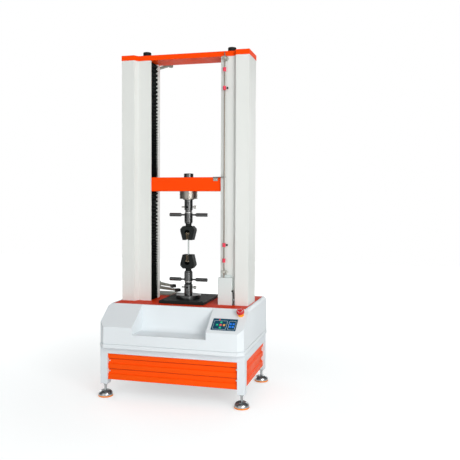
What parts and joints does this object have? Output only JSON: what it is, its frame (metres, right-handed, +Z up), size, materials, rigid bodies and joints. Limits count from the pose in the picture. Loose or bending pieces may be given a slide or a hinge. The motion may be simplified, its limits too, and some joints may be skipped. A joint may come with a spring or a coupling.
{
  "type": "universal testing machine",
  "caption": "Floor-standing two-column tensile testing machine with moving crosshead, wedge grips, pleated bellows, limit-stop rod, sloping console with tray and levelling feet.",
  "frame": {"origin": "on the floor under the middle of the base", "axes": "+Z up the columns, +X to the right seen from the front, +Y to the rear"},
  "size_m": [0.8239, 0.6, 1.8635],
  "materials": {
    "orange_paint": "semi-gloss powder coat",
    "white_paint": "fine textured powder coat",
    "cream_paint": "satin powder coat on the column covers",
    "black_oxide": "black oxide and dark satin paint on steel",
    "ground_steel": "turned and ground",
    "machined_steel": "turned, with a bright rim",
    "bright_chrome": "polished",
    "light_alloy": "anodised, satin",
    "bellows_cloth": "coated cloth, matt",
    "black_rubber": "matt",
    "film": "membrane film, satin",
    "green_key": "printed film",
    "red_key": "printed film",
    "amber_key": "printed film",
    "blue_key": "printed film",
    "stop_red": "moulded",
    "stop_yellow": "moulded",
    "collar_red": "anodised",
    "grey_paint": "grey-green hammered"
  },
  "bodies": {
    "root": {"base_frame": "white_paint", "table_plate": "orange_paint", "base_cover": "white_paint", "front_panel": "orange_paint", "base_panels": "orange_paint", "left_column_cover": "cream_paint", "right_column_cover": "cream_paint", "guide_columns": "ground_steel", "top_plate": "orange_paint", "top_bolts": "black_oxide", "upper_bellows": "bellows_cloth", "lower_bellows": "bellows_cloth", "base_plate": "black_oxide", "specimen": "light_alloy", "limit_box": "white_paint", "rod_brackets": "light_alloy", "limit_cable": "black_rubber", "control_panel": "film", "estop_base": "stop_yellow", "extensometer_mast": "grey_paint", "motor": "black_oxide", "drive_belt": "black_rubber", "feet": "bright_chrome", "lower_grip_body": "black_oxide", "lower_stem": "machined_steel", "lower_adapter": "black_oxide"},
    "crosshead": {"crosshead": "orange_paint", "crosshead_bolt": "black_oxide", "trip_finger": "light_alloy", "load_cell": "machined_steel", "ball_nuts": "ground_steel", "upper_adapter": "black_oxide", "upper_stem": "machined_steel", "upper_grip_body": "black_oxide"},
    "upper_sleeve": {"upper_sleeve": "black_oxide"},
    "lower_sleeve": {"lower_sleeve": "black_oxide"},
    "upper_pin": {"upper_pin": "ground_steel"},
    "lower_pin": {"lower_pin": "ground_steel"},
    "upper_left_jaw": {"upper_left_jaw": "machined_steel"},
    "upper_right_jaw": {"upper_right_jaw": "machined_steel"},
    "lower_left_jaw": {"lower_left_jaw": "machined_steel"},
    "lower_right_jaw": {"lower_right_jaw": "machined_steel"},
    "left_ball_screw": {"left_ball_screw": "ground_steel"},
    "right_ball_screw": {"right_ball_screw": "ground_steel"},
    "motor_pulley": {"motor_pulley": "light_alloy"},
    "limit_rod": {"limit_rod": "ground_steel"},
    "upper_stop_collar": {"upper_stop_collar": "collar_red"},
    "lower_stop_collar": {"lower_stop_collar": "collar_red"},
    "estop_head": {"estop_head": "stop_red"},
    "extensometer_lower_arm": {"extensometer_lower_arm": "grey_paint"},
    "extensometer_upper_arm": {"extensometer_upper_arm": "grey_paint"},
    "jog_up_key": {"jog_up_key": "green_key"},
    "jog_down_key": {"jog_down_key": "green_key"},
    "start_key": {"start_key": "green_key"},
    "stop_key": {"stop_key": "red_key"},
    "return_key": {"return_key": "amber_key"},
    "function_key_1": {"function_key_1": "blue_key"},
    "function_key_2": {"function_key_2": "blue_key"},
    "function_key_3": {"function_key_3": "blue_key"},
    "function_key_4": {"function_key_4": "blue_key"}
  },
  "joints": [
    {"name": "crosshead_slide", "type": "slide", "parent": "root", "child": "crosshead", "axis": [0, 0, 1], "range_m": [-0.02, 0.44], "deforming": ["upper_bellows", "lower_bellows"]},
    {"name": "left_screw_spin", "type": "hinge", "parent": "root", "child": "left_ball_screw", "pos_m": [-0.312, 0.027, 0.6], "axis": [0, 0, 1], "continuous": true},
    {"name": "right_screw_spin", "type": "hinge", "parent": "root", "child": "right_ball_screw", "pos_m": [0.312, 0.027, 0.6], "axis": [0, 0, 1], "continuous": true},
    {"name": "motor_spin", "type": "hinge", "parent": "root", "child": "motor_pulley", "pos_m": [0, 0.15, 0.311], "axis": [0, 0, 1], "continuous": true},
    {"name": "upper_sleeve_turn", "type": "hinge", "parent": "crosshead", "child": "upper_sleeve", "pos_m": [0, 0.027, 0.941], "axis": [0, 0, 1], "range_deg": [0, 900]},
    {"name": "upper_left_jaw_slide", "type": "slide", "parent": "crosshead", "child": "upper_left_jaw", "axis": [-0.1736, 0, 0.9848], "range_m": [0, 0.0101]},
    {"name": "upper_right_jaw_slide", "type": "slide", "parent": "crosshead", "child": "upper_right_jaw", "axis": [0.1736, 0, 0.9848], "range_m": [0, 0.0101]},
    {"name": "upper_pin_pull", "type": "slide", "parent": "crosshead", "child": "upper_pin", "axis": [1, 0, 0], "range_m": [0, 0.07]},
    {"name": "lower_sleeve_turn", "type": "hinge", "parent": "root", "child": "lower_sleeve", "pos_m": [0, 0.027, 0.62], "axis": [0, 0, 1], "range_deg": [0, 900]},
    {"name": "lower_left_jaw_slide", "type": "slide", "parent": "root", "child": "lower_left_jaw", "axis": [-0.1736, 0, -0.9848], "range_m": [0, 0.0101]},
    {"name": "lower_right_jaw_slide", "type": "slide", "parent": "root", "child": "lower_right_jaw", "axis": [0.1736, 0, -0.9848], "range_m": [0, 0.0101]},
    {"name": "lower_pin_pull", "type": "slide", "parent": "root", "child": "lower_pin", "axis": [1, 0, 0], "range_m": [0, 0.07]},
    {"name": "limit_rod_slide", "type": "slide", "parent": "root", "child": "limit_rod", "axis": [0, 0, 1], "range_m": [-0.008, 0.008], "stiffness_N_per_m": 2500, "springref_m": 0.0017},
    {"name": "upper_stop_set", "type": "slide", "parent": "limit_rod", "child": "upper_stop_collar", "axis": [0, 0, 1], "range_m": [-0.42, 0.075]},
    {"name": "lower_stop_set", "type": "slide", "parent": "limit_rod", "child": "lower_stop_collar", "axis": [0, 0, 1], "range_m": [-0.06, 0.3]},
    {"name": "estop_push", "type": "slide", "parent": "root", "child": "estop_head", "axis": [0, 0.5851, -0.811], "range_m": [0, 0.005], "stiffness_N_per_m": 800},
    {"name": "jog_up_key_press", "type": "slide", "parent": "root", "child": "jog_up_key", "axis": [0, 0.5851, -0.811], "range_m": [0, 0.0007], "stiffness_N_per_m": 400},
    {"name": "jog_down_key_press", "type": "slide", "parent": "root", "child": "jog_down_key", "axis": [0, 0.5851, -0.811], "range_m": [0, 0.0007], "stiffness_N_per_m": 400},
    {"name": "start_key_press", "type": "slide", "parent": "root", "child": "start_key", "axis": [0, 0.5851, -0.811], "range_m": [0, 0.0007], "stiffness_N_per_m": 400},
    {"name": "stop_key_press", "type": "slide", "parent": "root", "child": "stop_key", "axis": [0, 0.5851, -0.811], "range_m": [0, 0.0007], "stiffness_N_per_m": 400},
    {"name": "return_key_press", "type": "slide", "parent": "root", "child": "return_key", "axis": [0, 0.5851, -0.811], "range_m": [0, 0.0007], "stiffness_N_per_m": 400},
    {"name": "function_key_1_press", "type": "slide", "parent": "root", "child": "function_key_1", "axis": [0, 0.5851, -0.811], "range_m": [0, 0.0007], "stiffness_N_per_m": 400},
    {"name": "function_key_2_press", "type": "slide", "parent": "root", "child": "function_key_2", "axis": [0, 0.5851, -0.811], "range_m": [0, 0.0007], "stiffness_N_per_m": 400},
    {"name": "function_key_3_press", "type": "slide", "parent": "root", "child": "function_key_3", "axis": [0, 0.5851, -0.811], "range_m": [0, 0.0007], "stiffness_N_per_m": 400},
    {"name": "function_key_4_press", "type": "slide", "parent": "root", "child": "function_key_4", "axis": [0, 0.5851, -0.811], "range_m": [0, 0.0007], "stiffness_N_per_m": 400},
    {"name": "extensometer_lower_slide", "type": "slide", "parent": "root", "child": "extensometer_lower_arm", "axis": [0, 0, 1], "range_m": [0, 0.6]},
    {"name": "extensometer_upper_slide", "type": "slide", "parent": "extensometer_lower_arm", "child": "extensometer_upper_arm", "axis": [0, 0, 1], "range_m": [0, 0.6]}
  ],
  "couplings": [
    {"joint": "left_screw_spin", "follows": "crosshead_slide", "rad_per_m": 628.32},
    {"joint": "right_screw_spin", "follows": "crosshead_slide", "rad_per_m": 628.32},
    {"joint": "motor_spin", "follows": "crosshead_slide", "rad_per_m": 1047.2},
    {"joint": "upper_left_jaw_slide", "follows": "upper_sleeve_turn", "m_per_rad": 0.00063662},
    {"joint": "upper_right_jaw_slide", "follows": "upper_sleeve_turn", "m_per_rad": 0.00063662},
    {"joint": "lower_left_jaw_slide", "follows": "lower_sleeve_turn", "m_per_rad": 0.00063662},
    {"joint": "lower_right_jaw_slide", "follows": "lower_sleeve_turn", "m_per_rad": 0.00063662}
  ]
}
